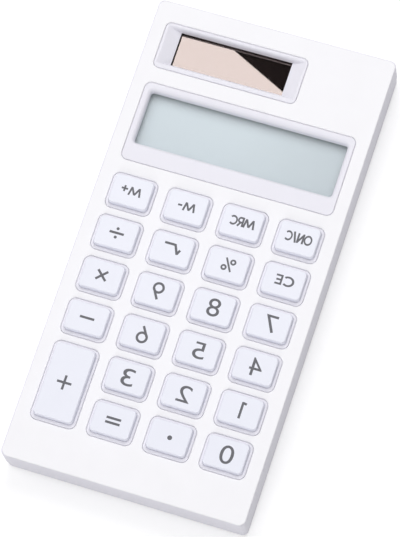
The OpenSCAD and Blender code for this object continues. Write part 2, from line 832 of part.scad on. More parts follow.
// Moulded key: a tapered cap on a flange, hollow below, with a post over its dome
module key(column, row, span) {
    extra = key_extra(span);
    shell = 1.2;
    post_r = 1.7;
    side_z = panel_top - seat_gap;
    hollow_top = panel_top - key_travel / 2;
    hollow_w = key_w - 2 * shell;
    hollow_d = key_d + extra - 2 * shell;
    sides = [[0, key_under + flange_t / 2], [0, side_z]];
    color(key_white) translate([key_x(column), key_y(row, span), 0]) difference() {
        union() {
            profiled_block(key_w, key_d + extra, key_corner_r,
                concat(sides, round_top(key_taper, key_top, key_edge_r)));
            plate(flange_w, flange_d + extra, hole_r, key_under, flange_top);
        }
        difference() {
            plate(hollow_w, hollow_d, key_corner_r / 2, key_under - cut, hollow_top);
            boss(post_r, key_under, hollow_top + cut);
        }
    }
}

front_panel();
front_case();
rear_cover();
battery_cover();
rubber_feet();
keypad_membrane();
circuit_board();
key_contacts();
controller_blob();
capacitors();
resistors();
diode();
display_front_glass();
display_rear_glass();
display_front_film();
display_rear_film();
display_connector();
display_pad();
light_cell();
light_cell_pad();
light_cell_leads();
button_cell();
battery_contact_plus();
battery_contact_minus();
case_screws();
board_screws();
battery_cover_screw();
for (k = KEYS) {
    key(k[1], k[2], k[3]);
}
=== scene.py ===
import json
import math

import bmesh
import bpy
from mathutils import Matrix, Vector

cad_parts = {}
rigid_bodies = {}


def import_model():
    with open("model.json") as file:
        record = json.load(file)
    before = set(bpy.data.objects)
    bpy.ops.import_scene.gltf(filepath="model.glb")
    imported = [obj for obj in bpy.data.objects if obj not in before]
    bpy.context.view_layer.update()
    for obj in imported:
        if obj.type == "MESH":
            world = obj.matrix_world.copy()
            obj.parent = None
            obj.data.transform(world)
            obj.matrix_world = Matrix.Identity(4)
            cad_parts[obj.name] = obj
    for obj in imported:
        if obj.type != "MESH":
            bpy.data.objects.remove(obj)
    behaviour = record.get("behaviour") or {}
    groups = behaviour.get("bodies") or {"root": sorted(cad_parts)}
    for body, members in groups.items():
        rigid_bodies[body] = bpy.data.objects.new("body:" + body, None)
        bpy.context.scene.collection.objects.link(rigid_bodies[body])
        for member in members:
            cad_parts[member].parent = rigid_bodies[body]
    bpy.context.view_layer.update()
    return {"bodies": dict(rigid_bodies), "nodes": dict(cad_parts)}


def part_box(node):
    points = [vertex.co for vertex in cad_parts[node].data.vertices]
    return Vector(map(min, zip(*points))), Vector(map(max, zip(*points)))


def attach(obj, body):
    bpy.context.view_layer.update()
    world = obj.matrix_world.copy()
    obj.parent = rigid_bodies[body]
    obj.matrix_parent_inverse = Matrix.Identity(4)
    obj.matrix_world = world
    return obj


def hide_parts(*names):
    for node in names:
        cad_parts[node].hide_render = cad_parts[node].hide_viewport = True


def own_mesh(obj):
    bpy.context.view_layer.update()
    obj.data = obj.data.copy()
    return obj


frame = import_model()

# Camera
# A long lens high above the desk, in front of the keys and a little to their right.
# It is rolled, so that the calculator leans to the right in the frame.
mm = 0.001
camera_place = Vector((137.92, -202.36, 723.64)) * mm
camera_aim = Vector((0.71, -3.11, 11.4)) * mm
frame_up = math.radians(108.28)
lens_length = 212.1

bpy.ops.object.camera_add()
camera = bpy.context.object
camera.name = "camera"
looks_along = (camera_aim - camera_place).normalized()
to_the_right = looks_along.cross(Vector((math.cos(frame_up), math.sin(frame_up), 0))).normalized()
camera_turn = Matrix((to_the_right, to_the_right.cross(looks_along), -looks_along)).transposed()
camera.matrix_world = Matrix.Translation(camera_place) @ camera_turn.to_4x4()
camera.data.lens = lens_length
camera.data.sensor_width = 36
camera.data.clip_start = 0.01
bpy.context.scene.camera = camera
bpy.context.scene.view_settings.view_transform = "Standard"

# Floor and studio
# A wide sheet of white paper under the calculator and a pale room round it.
# Both read as white in the frame, and the paper keeps the calculator's soft shadow.
paper_colour = (0.78, 0.78, 0.785, 1)
paper_lift = 0.36
paper_size = 6
room_light = (0.48, 0.48, 0.48, 1)


def add_node(tree, kind, **values):
    """Adds a shader node and sets its properties, and its inputs where a name is an input's."""
    node = tree.nodes.new("ShaderNode" + kind)
    for name, value in values.items():
        if name in node.inputs:
            node.inputs[name].default_value = value
        else:
            setattr(node, name, value)
    return node


def background_rays(tree):
    """A mask that is 1 for the rays that show the background: camera, mirror and glass rays."""
    path = add_node(tree, "LightPath")
    seen = add_node(tree, "Math", operation="MAXIMUM")
    shown = add_node(tree, "Math", operation="MAXIMUM")
    tree.links.new(path.outputs["Is Camera Ray"], seen.inputs[0])
    tree.links.new(path.outputs["Is Glossy Ray"], seen.inputs[1])
    tree.links.new(seen.outputs[0], shown.inputs[0])
    tree.links.new(path.outputs["Is Transmission Ray"], shown.inputs[1])
    return shown.outputs[0]


room = bpy.data.worlds.new("studio")
bpy.context.scene.world = room
room.use_nodes = True
room.node_tree.nodes.clear()
room_out = add_node(room.node_tree, "OutputWorld")
room_shade = add_node(room.node_tree, "Background")
room_mix = add_node(room.node_tree, "Mix", data_type="RGBA", A=room_light, B=(1, 1, 1, 1))
room.node_tree.links.new(background_rays(room.node_tree), room_mix.inputs["Factor"])
room.node_tree.links.new(room_mix.outputs["Result"], room_shade.inputs["Color"])
room.node_tree.links.new(room_shade.outputs[0], room_out.inputs[0])

bpy.ops.object.select_all(action="DESELECT")
bpy.ops.mesh.primitive_plane_add(size=paper_size)
paper = bpy.context.object
paper.name = "paper"
paper_finish = bpy.data.materials.new("white_paper")
paper_finish.use_nodes = True
paper_tree = paper_finish.node_tree
paper_tree.nodes.clear()
paper_out = add_node(paper_tree, "OutputMaterial")
paper_sum = add_node(paper_tree, "AddShader")
paper_matte = add_node(paper_tree, "BsdfDiffuse", Color=paper_colour)
paper_glow = add_node(paper_tree, "Emission")
paper_level = add_node(paper_tree, "Math", operation="MULTIPLY")
paper_level.inputs[1].default_value = paper_lift
paper_path = add_node(paper_tree, "LightPath")
paper_tree.links.new(paper_path.outputs["Is Camera Ray"], paper_level.inputs[0])
paper_tree.links.new(paper_level.outputs[0], paper_glow.inputs["Strength"])
paper_tree.links.new(paper_matte.outputs[0], paper_sum.inputs[0])
paper_tree.links.new(paper_glow.outputs[0], paper_sum.inputs[1])
paper_tree.links.new(paper_sum.outputs[0], paper_out.inputs["Surface"])
paper.data.materials.append(paper_finish)

# Lights
# Three soft lights, behind the calculator, on its left and low in front of it, each given by its place,
# the length of its side and the level that it adds to the desk. The light cell mirrors a bright card,
# and a black card beyond the bright one's edge.
back_light = (Vector((0, 0.95, 1.3)), 1, 0.33)
left_light = (Vector((-0.95, 0, 1.3)), 1, 0.145)
front_light = (Vector((0, -1, 0.5)), 0.6, 0.105)
card_height = 0.55
card_size = (0.16, 0.1)
card_level = 4
mirror_line = (Vector((-8.44, 52.65, 0)) * mm, Vector((5.18, 46.15, 0)) * mm)
cell_low, cell_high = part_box("light_cell")
cell_film_thick = 0.45 * mm
cell_mirror = cell_low.z + cell_film_thick


def softbox(name, place, side, level):
    """Square soft light that faces the calculator and adds a level of light to the desk under it."""
    bpy.ops.object.light_add(type="AREA", location=place)
    light = bpy.context.object
    light.name = name
    light.rotation_euler = (-place).to_track_quat("-Z", "Y").to_euler()
    light.data.shape = "SQUARE"
    light.data.size = side
    light.data.energy = math.pi ** 2 * level * place.length ** 3 / place.z
    light.visible_camera = False


softbox("back_light", *back_light)
softbox("left_light", *left_light)
softbox("front_light", *front_light)
behind_mirror = Vector((camera_place.x, camera_place.y, 2 * cell_mirror - camera_place.z))


def seen_in_cell(point):
    """The point at the cards' height that the camera sees mirrored at a point of the light cell."""
    on_cell = Vector((point.x, point.y, cell_mirror))
    ray = on_cell - behind_mirror
    return on_cell + ray * (card_height / ray.z)


edge_start, edge_end = (seen_in_cell(point) for point in mirror_line)
edge_along = (edge_end - edge_start).normalized()
edge_inward = Vector((edge_along.y, -edge_along.x, 0))
edge_middle = (edge_start + edge_end) / 2


def mirror_card(name, inward, level):
    """Card of a brightness on one side of the edge in the mirror. Only mirrors see it."""
    bpy.ops.object.select_all(action="DESELECT")
    bpy.ops.mesh.primitive_plane_add(size=1)
    card = bpy.context.object
    card.name = name
    card.matrix_world = (
        Matrix.Translation(edge_middle + inward * card_size[1] / 2)
        @ Matrix((edge_along, -edge_inward, (0, 0, 1))).transposed().to_4x4()
        @ Matrix.Diagonal((*card_size, 1, 1))
    )
    finish = bpy.data.materials.new(name)
    finish.use_nodes = True
    finish.node_tree.nodes.clear()
    glow = add_node(finish.node_tree, "Emission", Strength=level)
    finish_out = add_node(finish.node_tree, "OutputMaterial")
    finish.node_tree.links.new(glow.outputs[0], finish_out.inputs["Surface"])
    card.data.materials.append(finish)
    card.visible_camera = False
    card.visible_diffuse = False
    card.visible_shadow = False


mirror_card("bright_card", edge_inward, card_level)
mirror_card("black_card", -edge_inward, 0)

# Rear cover
# A shallow tray moulded in cool white plastic, with a round lower edge and a tongue that goes inside
# the front case. It has seats for four feet, four screws and the battery cover. Like the front case,
# it stands out a little beyond the panel on the left and at the back.
case_colour = (0.8, 0.788, 0.86, 1)
case_corner = 1.5 * mm
hollow_corner = 0.7 * mm
case_lap = 0.26 * mm
rear_low, rear_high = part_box("rear_cover")
rear_low = rear_low - Vector((case_lap, 0, 0))
rear_high = rear_high + Vector((0, case_lap, 0))
rear_edge = 0.6 * mm
rear_wall = 1.9 * mm
seam_edge = 0.15 * mm
tongue_rise = 0.8 * mm
tongue_inset = 1.55 * mm
tongue_wall = 0.7 * mm
rear_floor = rear_low.z + rear_wall
seam_level = rear_high.z - tongue_rise
foot_radius = 3.5 * mm
foot_seat = 0.7 * mm
screw_head_radius = 1.8 * mm
screw_head_seat = 0.9 * mm
screw_hole_radius = 1 * mm
boss_radius = 2.1 * mm
fit = 0.1 * mm
past = 1 * mm
nearly = 0.99
smooth_angle = math.radians(35)


def places_of(node, inset, rows=2):
    """Places of round pieces in two columns over a node's box, as far in as their radius."""
    low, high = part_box(node)
    pitch = (high.y - low.y - 2 * inset) / (rows - 1)
    return [
        Vector((x, low.y + inset + row * pitch, 0))
        for x in (low.x + inset, high.x - inset)
        for row in range(rows)
    ]


def pick(piece, kind, test):
    """Opens a piece for editing, with only the faces or edges that pass the test selected."""
    bpy.context.view_layer.objects.active = piece
    bpy.ops.object.mode_set(mode="EDIT")
    bpy.ops.mesh.select_mode(type=kind)
    bpy.ops.mesh.select_all(action="DESELECT")
    cage = bmesh.from_edit_mesh(piece.data)
    for part in cage.faces if kind == "FACE" else cage.edges:
        part.select_set(test(part))
    bmesh.update_edit_mesh(piece.data)


def close_edit(piece):
    """Leaves edit mode, with the piece as it was edited."""
    bpy.ops.object.mode_set(mode="OBJECT")
    piece.data.update()


def upright(edge):
    """True for an edge that stands along Z."""
    run = edge.verts[1].co - edge.verts[0].co
    return abs(run.z) > nearly * run.length


def faces_up(face):
    """True for a level face that looks up."""
    return face.normal.z > nearly


def faces_down(face):
    """True for a level face that looks down."""
    return face.normal.z < -nearly


def grown(low, high, by, bottom, top):
    """A box's corners moved out by a margin in plan, between two levels."""
    return Vector((low.x - by, low.y - by, bottom)), Vector((high.x + by, high.y + by, top))


def block(name, low, high, corner, turns=6):
    """Block between two corners, with its upright edges rounded."""
    bpy.ops.object.select_all(action="DESELECT")
    bpy.ops.mesh.primitive_cube_add(size=1, location=(low + high) / 2, scale=high - low)
    bpy.ops.object.transform_apply(location=True, rotation=True, scale=True)
    piece = bpy.context.object
    piece.name = piece.data.name = name
    if corner:
        pick(piece, "EDGE", upright)
        bpy.ops.mesh.bevel(offset=corner, segments=turns, affect="EDGES")
        close_edit(piece)
    return piece


def drum(name, place, radius, low, high, turns=32):
    """Round post between two levels."""
    bpy.ops.object.select_all(action="DESELECT")
    middle = Vector((place.x, place.y, (low + high) / 2))
    bpy.ops.mesh.primitive_cylinder_add(vertices=turns, radius=radius, depth=high - low, location=middle)
    bpy.ops.object.transform_apply(location=True, rotation=True, scale=True)
    piece = bpy.context.object
    piece.name = piece.data.name = name
    return piece


def grow(piece, facing, steps):
    """Carries an end face on through steps of (inset, rise), where a rise alone goes straight."""
    pick(piece, "FACE", facing)
    side = 1 if facing is faces_up else -1
    for inset, rise in steps:
        if not inset:
            move = {"value": (0, 0, side * rise)}
            bpy.ops.mesh.extrude_region_move(TRANSFORM_OT_translate=move)
        else:
            bpy.ops.mesh.inset(thickness=inset, depth=rise)
    close_edit(piece)


def round_over(radius, turns=4):
    """Steps of (inset, rise) that turn an upright side over into a level face."""
    angles = [math.pi / 2 * i / turns for i in range(turns + 1)]
    return [
        (radius * (math.cos(a) - math.cos(b)), radius * (math.sin(b) - math.sin(a)))
        for a, b in zip(angles, angles[1:])
    ]


def join(pieces):
    """Joins pieces into the first one."""
    if len(pieces) > 1:
        bpy.ops.object.select_all(action="DESELECT")
        for piece in pieces:
            piece.select_set(True)
        bpy.context.view_layer.objects.active = pieces[0]
        bpy.ops.object.join()
    return pieces[0]


def carve(piece, tools, operation="DIFFERENCE"):
    """Cuts tools out of a piece, or fuses them to it, and removes them."""
    tool = join(tools)
    bpy.ops.object.select_all(action="DESELECT")
    piece.select_set(True)
    bpy.context.view_layer.objects.active = piece
    step = piece.modifiers.new("carve", "BOOLEAN")
    step.operation = operation
    step.solver = "EXACT"
    step.object = tool
    bpy.ops.object.modifier_apply(modifier=step.name)
    bpy.data.objects.remove(tool)


def polish(piece):
    """Smooth shading that breaks at real edges and keeps wide faces flat."""
    bpy.ops.object.select_all(action="DESELECT")
    piece.select_set(True)
    bpy.context.view_layer.objects.active = piece
    bpy.ops.object.shade_smooth_by_angle(angle=smooth_angle)
    even = piece.modifiers.new("even", "WEIGHTED_NORMAL")
    even.keep_sharp = True
    bpy.ops.object.modifier_apply(modifier=even.name)


def grain_group():
    """Fine grain of a moulded or painted surface, and a faint cloudiness of its tone."""
    group = bpy.data.node_groups.new("surface_grain", "ShaderNodeTree")
    inputs = {"Vector": "NodeSocketVector", "Grain": "NodeSocketFloat", "Cloud": "NodeSocketFloat"}
    for name, kind in inputs.items():
        group.interface.new_socket(name, in_out="INPUT", socket_type=kind)
    for name in ("Height", "Tone"):
        group.interface.new_socket(name, in_out="OUTPUT", socket_type="NodeSocketFloat")
    start = group.nodes.new("NodeGroupInput")
    end = group.nodes.new("NodeGroupOutput")
    fine = add_node(group, "TexNoise", Detail=3.0, Roughness=0.6)
    broad = add_node(group, "TexNoise", Detail=2.0, Roughness=0.5)
    for noise, size in ((fine, "Grain"), (broad, "Cloud")):
        group.links.new(start.outputs["Vector"], noise.inputs["Vector"])
        group.links.new(start.outputs[size], noise.inputs["Scale"])
    group.links.new(fine.outputs["Fac"], end.inputs["Height"])
    group.links.new(broad.outputs["Fac"], end.inputs["Tone"])
    return group


surface_grain = grain_group()
grains_per_cloud = 40


def satin(name, colour, roughness, grain, depth, spread=0.02, gloss_spread=0.08, **sockets):
    """Satin plastic, paint or rubber: grain in its gloss and surface, and a faintly uneven tone."""
    finish = bpy.data.materials.new(name)
    finish.use_nodes = True
    tree = finish.node_tree
    shader = tree.nodes["Principled BSDF"]
    for socket, value in sockets.items():
        shader.inputs[socket.replace("_", " ")].default_value = value
    place = add_node(tree, "TexCoord")
    cloud = grain / grains_per_cloud
    surface = add_node(tree, "Group", node_tree=surface_grain, Grain=grain, Cloud=cloud)
    tone = add_node(tree, "Mix", data_type="RGBA")
    tone.inputs["A"].default_value = [c * (1 - spread) for c in colour[:3]] + [1]
    tone.inputs["B"].default_value = [c * (1 + spread) for c in colour[:3]] + [1]
    gloss = add_node(tree, "MapRange")
    gloss.inputs["To Min"].default_value = roughness - gloss_spread
    gloss.inputs["To Max"].default_value = roughness + gloss_spread
    bump = add_node(tree, "Bump", Strength=1.0, Distance=depth)
    tree.links.new(place.outputs["Object"], surface.inputs["Vector"])
    tree.links.new(surface.outputs["Tone"], tone.inputs["Factor"])
    tree.links.new(surface.outputs["Height"], gloss.inputs["Value"])
    tree.links.new(surface.outputs["Height"], bump.inputs["Height"])
    tree.links.new(tone.outputs["Result"], shader.inputs["Base Color"])
    tree.links.new(gloss.outputs["Result"], shader.inputs["Roughness"])
    tree.links.new(bump.outputs["Normal"], shader.inputs["Normal"])
    return finish


def dress(piece, finish, body, slot, *nodes):
    """Gives a piece its finish, the body that it moves with and the nodes it stands for; the slot is not
    used.
    """
    piece.data.materials.clear()
    piece.data.materials.append(finish)
    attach(piece, body)
    if nodes:
        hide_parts(*nodes)


case_plastic = satin("case_plastic", case_colour, roughness=0.42, grain=5000, depth=0.001 * mm)

rear_cover = block(
    "rear_cover_shell",
    Vector((rear_low.x, rear_low.y, rear_low.z + rear_edge)),
    Vector((rear_high.x, rear_high.y, seam_level - seam_edge)),
    case_corner,
    turns=10,
)
grow(rear_cover, faces_down, round_over(rear_edge, turns=6))
grow(rear_cover, faces_up, round_over(seam_edge))
tongue = grown(rear_low, rear_high, -tongue_inset, rear_floor, rear_high.z)
carve(rear_cover, [block("tongue", *tongue, hollow_corner)], "UNION")
room_inset = tongue_inset + tongue_wall
tray_room = grown(rear_low, rear_high, -room_inset, rear_floor, rear_high.z + past)
carve(rear_cover, [block("room", *tray_room, hollow_corner)])

cover_low, cover_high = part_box("battery_cover")
cover_corner = 1.5 * mm
cover_thick = 0.9 * mm
battery_low, battery_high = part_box("button_cell")
battery_middle = (battery_low + battery_high) / 2
battery_hole_radius = 6.3 * mm
cover_screw_low, cover_screw_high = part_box("battery_cover_screw")
cover_screw_place = (cover_screw_low + cover_screw_high) / 2
cover_boss_radius = 1.9 * mm
cover_bore_radius = 0.85 * mm
board_low, board_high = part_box("circuit_board")

boss = drum("boss", cover_screw_place, cover_boss_radius, rear_low.z + cover_thick, board_low.z - fit)
carve(rear_cover, [boss], "UNION")
foot_places = places_of("rubber_feet", foot_radius)
screw_places = places_of("case_screws", screw_head_radius)
below = rear_low.z - past
seats = [drum("seat", p, foot_radius + fit / 2, below, rear_low.z + foot_seat) for p in foot_places]
head_seat = rear_low.z + screw_head_seat
seats += [drum("seat", p, screw_head_radius + fit, below, head_seat) for p in screw_places]
carve(rear_cover, seats)
bores = [drum("bore", p, screw_hole_radius, below, rear_floor + past) for p in screw_places]
carve(rear_cover, bores)
bores = [drum("bore", p, boss_radius + fit, rear_floor, rear_high.z + past) for p in screw_places]
carve(rear_cover, bores)
recess = grown(cover_low, cover_high, fit, below, rear_low.z + cover_thick + fit / 2)
carve(rear_cover, [block("recess", *recess, cover_corner)])
bores = [
    drum("bore", battery_middle, battery_hole_radius, below, rear_floor + past, turns=48),
    drum("bore", cover_screw_place, cover_bore_radius, below, board_low.z + past),
]
carve(rear_cover, bores)
polish(rear_cover)
dress(rear_cover, case_plastic, "case", "case_plastic", "rear_cover")

# Rubber feet
# Four discs of black rubber, moulded with a round lower edge and glued into shallow seats
# in the rear cover. They stand a little out of it.
rubber_colour = (0.035, 0.035, 0.037, 1)
foot_low, foot_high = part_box("rubber_feet")
foot_edge = 0.3 * mm


def copy_to(piece, name, shift):
    """Copy of a piece, with its own mesh, moved by a shift."""
    bpy.ops.object.select_all(action="DESELECT")
    piece.select_set(True)
    bpy.context.view_layer.objects.active = piece
    bpy.ops.object.duplicate_move(
        OBJECT_OT_duplicate={"linked": False}, TRANSFORM_OT_translate={"value": shift}
    )
    bpy.ops.object.transform_apply(location=True, rotation=True, scale=True)
    copy = bpy.context.object
    copy.name = copy.data.name = name
    return copy


foot_rubber = satin(
    "foot_rubber", rubber_colour, roughness=0.75, grain=3500, depth=0.01 * mm, spread=0.12
)
first_foot = drum(
    "rubber_foot_1", foot_places[0], foot_radius, foot_low.z + foot_edge, foot_high.z, turns=48
)
grow(first_foot, faces_down, round_over(foot_edge))
polish(first_foot)
feet = [first_foot]
for number, place in enumerate(foot_places[1:], 2):
    feet.append(copy_to(first_foot, f"rubber_foot_{number}", place - foot_places[0]))
for foot in feet:
    dress(foot, foot_rubber, "case", "foot_rubber", "rubber_feet")

# Front case
# The upper shell, moulded in the same white plastic. Collars for the keys and two bezels come up
# through the panel's openings, and posts, ribs and a pocket inside hold what it carries.
shell_low, shell_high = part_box("front_case")
shell_low = shell_low - Vector((case_lap, 0, 0))
shell_high = shell_high + Vector((0, case_lap, 0))
panel_low, panel_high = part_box("front_panel")
shell_wall = 1.6 * mm
shell_edge = 0.15 * mm
seam_gap = 0.05 * mm
roof_thick = 1.35 * mm
roof_under = panel_low.z - roof_thick
roof_middle = panel_low.z - roof_thick / 2
collar_top = shell_high.z
collar_edge = 0.2 * mm
panel_gap = 0.07 * mm
key_lip = 0.65 * mm
key_clearance = 0.15 * mm
collar_width = 0.7 * mm
opening_corner = 1.7 * mm
hole_corner = 1.09 * mm
key_trim = Vector((0.08, 0.3, 0)) * mm
merge_within = 0.0005 * mm
flange_reach = key_lip - key_clearance
collar_out = collar_width - flange_reach
key_names = [name for name in frame["bodies"] if name.startswith("key_")]


def mouth_cutter(name, low, high, corner, surface, edge, bottom):
    """Cutter for an opening in plan, whose upper edge at the surface is rounded over."""
    wide_low, wide_high = grown(low, high, edge, surface, surface + past)
    tool = block(name, wide_low, wide_high, corner + edge, turns=8)
    steps = list(reversed(round_over(edge)))
    grow(tool, faces_down, steps + [(0, surface - edge - bottom)])
    return tool


def raised(name, low, high, corner):
    """Block that rises from the roof through the panel, with a round upper edge."""
    foot, head = grown(low, high, -panel_gap, roof_middle, collar_top - collar_edge)
    piece = block(name, foot, head, corner - panel_gap, turns=8)
    grow(piece, faces_up, round_over(collar_edge))
    return piece


def key_plan(name, inset, bottom, top):
    """A key's outline moved in, and trimmed at its right and near sides, between two levels."""
    foot, head = grown(*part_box(name), -inset, bottom, top)
    foot.y += key_trim.y
    head.x -= key_trim.x
    return foot, head


def merge_points(piece):
    """Merges points that lie on top of each other, and lets every face look outwards."""
    bpy.context.view_layer.objects.active = piece
    bpy.ops.object.mode_set(mode="EDIT")
    bpy.ops.mesh.select_all(action="SELECT")
    bpy.ops.mesh.remove_doubles(threshold=merge_within)
    bpy.ops.mesh.dissolve_degenerate(threshold=merge_within)
    bpy.ops.mesh.normals_make_consistent(inside=False)
    close_edit(piece)


view_left, view_near = 1.6 * mm, 4.05 * mm
view_right, view_far = 1.4 * mm, 1.5 * mm
view_corner = 0.8 * mm
view_edge = 0.9 * mm
bezel_near_left = Vector((1.87, 4.85, 0)) * mm
bezel_far_right = Vector((1.68, 2.1, 0)) * mm
glass_low, glass_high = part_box("display_front_glass")
view_low = Vector((glass_low.x + view_left, glass_low.y + view_near, 0))
view_high = Vector((glass_high.x - view_right, glass_high.y - view_far, 0))
bezel_low = view_low - bezel_near_left
bezel_high = view_high + bezel_far_right

window_left, window_near = 0.8 * mm, 1.3 * mm
window_right, window_far = 1 * mm, 0.8 * mm
cell_slope = Vector((3.35, 0.75, 0)) * mm
cell_lip = 0.35 * mm
rim_near_left = Vector((0.63, 1, 0)) * mm
rim_far_right = Vector((0.63, 0.63, 0)) * mm
rim_corner = 1.5 * mm
window_low = Vector((cell_low.x + window_left, cell_low.y + window_near, 0))
window_high = Vector((cell_high.x - window_right, cell_high.y - window_far, 0))
rim_low = window_low - cell_slope - rim_near_left
rim_high = window_high + cell_slope + rim_far_right

front_case = block(
    "front_case_shell",
    Vector((shell_low.x, shell_low.y, seam_level + seam_gap + seam_edge)),
    Vector((shell_high.x, shell_high.y, panel_low.z - shell_edge)),
    case_corner,
    turns=10,
)
grow(front_case, faces_up, round_over(shell_edge))
grow(front_case, faces_down, round_over(seam_edge))
shell_room = grown(shell_low, shell_high, -shell_wall, seam_level - past, roof_under)
carve(front_case, [block("room", *shell_room, hollow_corner)])

openings = [(*grown(*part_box(name), collar_out, 0, 0), opening_corner) for name in key_names]
openings += [(bezel_low, bezel_high, opening_corner), (rim_low, rim_high, rim_corner)]
carve(front_case, [raised("collar", *opening) for opening in openings], "UNION")

board_head_radius = 1.5 * mm
board_boss_radius = 1.6 * mm
board_screw_places = places_of("board_screws", board_head_radius, rows=3)
posts = [drum("post", p, boss_radius, rear_floor, roof_middle) for p in screw_places]
posts += [drum("post", p, board_boss_radius, board_high.z, roof_middle) for p in board_screw_places]
carve(front_case, posts, "UNION")

rib_gap = 0.15 * mm
rib_thick = 0.7 * mm
rib_drop = 1.5 * mm
rib_foot = roof_under - rib_drop
for low, high in ((glass_low, glass_high), (cell_low, cell_high)):
    ribs = block("ribs", *grown(low, high, rib_gap + rib_thick, rib_foot, roof_middle), 0)
    rib_room = grown(low, high, rib_gap, rib_foot - past, roof_middle + past)
    carve(ribs, [block("room", *rib_room, 0)])
    carve(front_case, [ribs], "UNION")

pocket_radius = battery_high.x - battery_middle.x + rib_gap
pocket_wall = 1.15 * mm
slot_half = 2.5 * mm
pocket_foot = battery_low.z + fit
pocket_outside = pocket_radius + pocket_wall
pocket = drum("pocket", battery_middle, pocket_outside, pocket_foot, roof_middle, turns=64)
carve(pocket, [drum("room", battery_middle, pocket_radius, pocket_foot - past, roof_under, turns=64)])
for out_x, out_y in ((2 * pocket_radius, slot_half), (slot_half, 2 * pocket_radius)):
    slot_low = battery_middle - Vector((out_x, out_y, 0))
    slot_high = battery_middle + Vector((min(out_x, slot_half), min(out_y, slot_half), 0))
    carve(pocket, [block("slot", *grown(slot_low, slot_high, 0, pocket_foot - past, roof_under), 0)])
carve(front_case, [pocket], "UNION")

case_screw_low, case_screw_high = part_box("case_screws")
board_screw_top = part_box("board_screws")[1].z
shank_radius = 0.9 * mm
board_shank_radius = 0.8 * mm
hole_foot = roof_under - past
cutters = [
    drum("bore", p, shank_radius + seam_gap, rear_floor - past, case_screw_high.z + fit)
    for p in screw_places
]
cutters += [
    drum("bore", p, board_shank_radius + seam_gap, board_high.z - past, board_screw_top + fit)
    for p in board_screw_places
]
for name in key_names:
    plan = key_plan(name, flange_reach, 0, 0)
    cutters.append(mouth_cutter("hole", *plan, hole_corner, collar_top, collar_edge, hole_foot))
cutters.append(mouth_cutter("view", view_low, view_high, view_corner, collar_top, view_edge, hole_foot))

funnel_top = grown(window_low - cell_slope, window_high + cell_slope, 0, collar_top, collar_top + past)
funnel = block("funnel", *funnel_top, 0)
pick(funnel, "FACE", faces_down)
window_half = (window_high - window_low) / 2
window_middle = (window_low + window_high) / 2
slope_drop = collar_top - roof_under - cell_lip
slope_turns = 8
reach_x, reach_y, reach_z = window_half.x + cell_slope.x, window_half.y + cell_slope.y, 0
for turn in range(1, slope_turns + 1):
    angle = math.pi / 2 * turn / slope_turns
    next_z = slope_drop * (1 - math.cos(angle))
    next_x = window_half.x + cell_slope.x * (1 - next_z / slope_drop)
    next_y = window_half.y + cell_slope.y * (1 - math.sin(angle))
    bpy.ops.mesh.extrude_region_move(TRANSFORM_OT_translate={"value": (0, 0, reach_z - next_z)})
    bpy.ops.transform.resize(value=(next_x / reach_x, next_y / reach_y, 1), center_override=window_middle)
    reach_x, reach_y, reach_z = next_x, next_y, next_z
bpy.ops.mesh.extrude_region_move(TRANSFORM_OT_translate={"value": (0, 0, -cell_lip - past)})
close_edit(funnel)
cutters.append(funnel)
carve(front_case, cutters)
merge_points(front_case)
polish(front_case)
dress(front_case, case_plastic, "case", "case_plastic", "front_case")

# Front panel
# A thin sheet painted satin white, glued on the case. It is punched out round the keys and the
# two bezels, and its edges are slightly rounded by the paint.
panel_colour = (0.9, 0.893, 0.925, 1)
panel_corner = 1.6 * mm
panel_edge = 0.1 * mm
punch_edge = 0.3 * mm
panel_paint = satin("panel_paint", panel_colour, roughness=0.5, grain=6500, depth=0.005 * mm)
front_panel = block(
    "front_panel_sheet",
    panel_low.copy(),
    Vector((panel_high.x, panel_high.y, panel_high.z - panel_edge)),
    panel_corner,
    turns=10,
)
grow(front_panel, faces_up, round_over(panel_edge))
punch_levels = (panel_high.z, punch_edge, panel_low.z - past)
carve(front_panel, [mouth_cutter("punch", *opening, *punch_levels) for opening in openings])
polish(front_panel)
dress(front_panel, panel_paint, "case", "panel_paint", "front_panel")

# Keys
# Caps moulded in white plastic, with nearly upright sides and a fine top edge. Each has a
# flange that keeps it under the case, is hollow below and presses on its rubber dome with a post.
key_colour = (0.815, 0.825, 0.91, 1)
key_corner = 1.05 * mm
key_flange = 0.8 * mm
key_lean = 0.14 * mm
key_fill = 0.13 * mm
key_edge = 0.15 * mm
key_shell = 1.2 * mm
key_post_radius = 1.7 * mm
key_roof = 1.65 * mm
key_plastic = satin("key_plastic", key_colour, roughness=0.36, grain=6000, depth=0.003 * mm)


def make_key(name):
    """One key cap with its flange, its hollow and its post."""
    low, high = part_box(name)
    plan = key_plan(name, key_lip - key_fill, low.z, collar_top)
    cap = block(f"{name}_cap", *plan, key_corner, turns=8)
    grow(cap, faces_up, [(key_lean, high.z - key_edge - collar_top)] + round_over(key_edge))
    flange = grown(low, high, 0, low.z, low.z + key_flange)
    carve(cap, [block("flange", *flange, key_corner + key_lip, turns=8)], "UNION")
    hollow_top = high.z - key_roof
    hollow = grown(low, high, -key_lip - key_shell, low.z - past, hollow_top)
    carve(cap, [block("hollow", *hollow, 0)])
    post = drum("post", (low + high) / 2, key_post_radius, low.z, hollow_top + key_roof / 3)
    carve(cap, [post], "UNION")
    polish(cap)
    return cap


cap_models = {}
caps = {}
for name in key_names:
    low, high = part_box(name)
    size = tuple(round(side / mm, 1) for side in high - low)
    if size not in cap_models:
        cap_models[size] = (make_key(name), low)
        caps[name] = cap_models[size][0]
    else:
        model, model_low = cap_models[size]
        caps[name] = copy_to(model, f"{name}_cap", low - model_low)
for name, cap in caps.items():
    dress(cap, key_plastic, name, "key_plastic", name)

